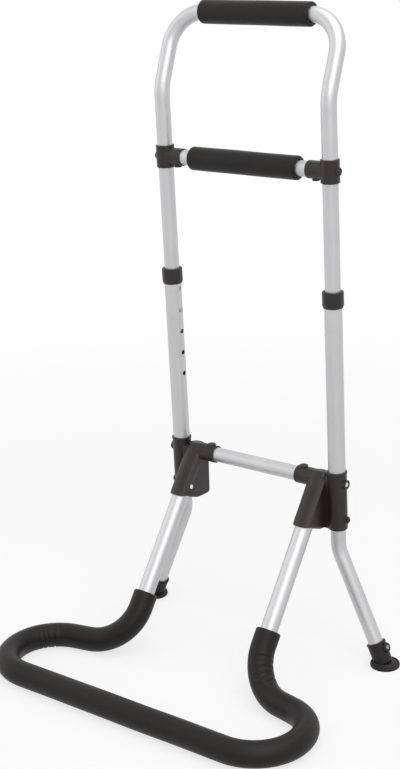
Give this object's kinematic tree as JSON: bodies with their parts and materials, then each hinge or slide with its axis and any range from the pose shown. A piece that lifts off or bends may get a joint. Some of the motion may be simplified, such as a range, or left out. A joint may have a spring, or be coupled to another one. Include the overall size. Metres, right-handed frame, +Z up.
{
  "type": "couch standing aid",
  "caption": "Free-standing couch standing aid: two padded grips on a telescopic tube frame with a foam-covered base loop that goes under the seat.",
  "frame": {"origin": "on the floor, under the middle of the overall box", "axes": "+X to the right along the grips, +Y to the back, away from the base loop, +Z up"},
  "size_m": [0.5428, 0.3945, 0.9553],
  "materials": {
    "aluminium": "satin",
    "moulding": "satin",
    "foam": "matte",
    "rubber": "matte",
    "steel": "polished"
  },
  "bodies": {
    "base": {"base_tube": "aluminium", "lower_tube_left": "aluminium", "lower_tube_right": "aluminium", "crossbar": "aluminium", "rear_leg_left": "aluminium", "rear_leg_right": "aluminium", "bracket_left": "moulding", "bracket_right": "moulding", "collar_left": "moulding", "collar_right": "moulding", "crossbar_screws": "moulding", "bracket_screws": "moulding", "base_foam": "foam", "foot_left": "rubber", "foot_right": "rubber", "foot_pins": "steel", "leg_clip_left": "steel", "leg_clip_right": "steel", "upright_clip_left": "steel", "upright_clip_right": "steel"},
    "handle": {"upper_frame": "aluminium", "top_grip": "foam", "handle_tube": "aluminium", "middle_grip": "foam", "tee_left": "moulding", "tee_right": "moulding", "tee_side_screws": "moulding", "tee_lower_screws": "moulding", "guide_bush_left": "moulding", "guide_bush_right": "moulding", "height_clip_left": "steel", "height_clip_right": "steel"},
    "leg_button_left": {"leg_button_left": "steel"},
    "leg_button_right": {"leg_button_right": "steel"},
    "upright_button_left": {"upright_button_left": "steel"},
    "upright_button_right": {"upright_button_right": "steel"},
    "height_button_left": {"height_button_left": "steel"},
    "height_button_right": {"height_button_right": "steel"}
  },
  "joints": [
    {"name": "height_slide", "type": "slide", "parent": "base", "child": "handle", "axis": [0, -0.0349, 0.9994], "range_m": [-0.1005, 0.0335], "deforming": ["height_button_left", "height_button_right", "height_clip_left", "height_clip_right"]},
    {"name": "leg_button_left_press", "type": "slide", "parent": "base", "child": "leg_button_left", "axis": [-1, 0, 0], "range_m": [0, 0.0033], "stiffness_N_per_m": 2500, "springref_m": -0.001, "deforming": ["leg_clip_left"]},
    {"name": "leg_button_right_press", "type": "slide", "parent": "base", "child": "leg_button_right", "axis": [1, 0, 0], "range_m": [0, 0.0033], "stiffness_N_per_m": 2500, "springref_m": -0.001, "deforming": ["leg_clip_right"]},
    {"name": "upright_button_left_press", "type": "slide", "parent": "base", "child": "upright_button_left", "axis": [1, 0, 0], "range_m": [0, 0.0047], "stiffness_N_per_m": 2500, "springref_m": -0.001, "deforming": ["upright_clip_left"]},
    {"name": "upright_button_right_press", "type": "slide", "parent": "base", "child": "upright_button_right", "axis": [-1, 0, 0], "range_m": [0, 0.0047], "stiffness_N_per_m": 2500, "springref_m": -0.001, "deforming": ["upright_clip_right"]},
    {"name": "height_button_left_press", "type": "slide", "parent": "handle", "child": "height_button_left", "axis": [-1, 0, 0], "range_m": [0, 0.0034], "stiffness_N_per_m": 2500, "springref_m": -0.001, "deforming": ["height_clip_left"]},
    {"name": "height_button_right_press", "type": "slide", "parent": "handle", "child": "height_button_right", "axis": [1, 0, 0], "range_m": [0, 0.0034], "stiffness_N_per_m": 2500, "springref_m": -0.001, "deforming": ["height_clip_right"]}
  ]
}
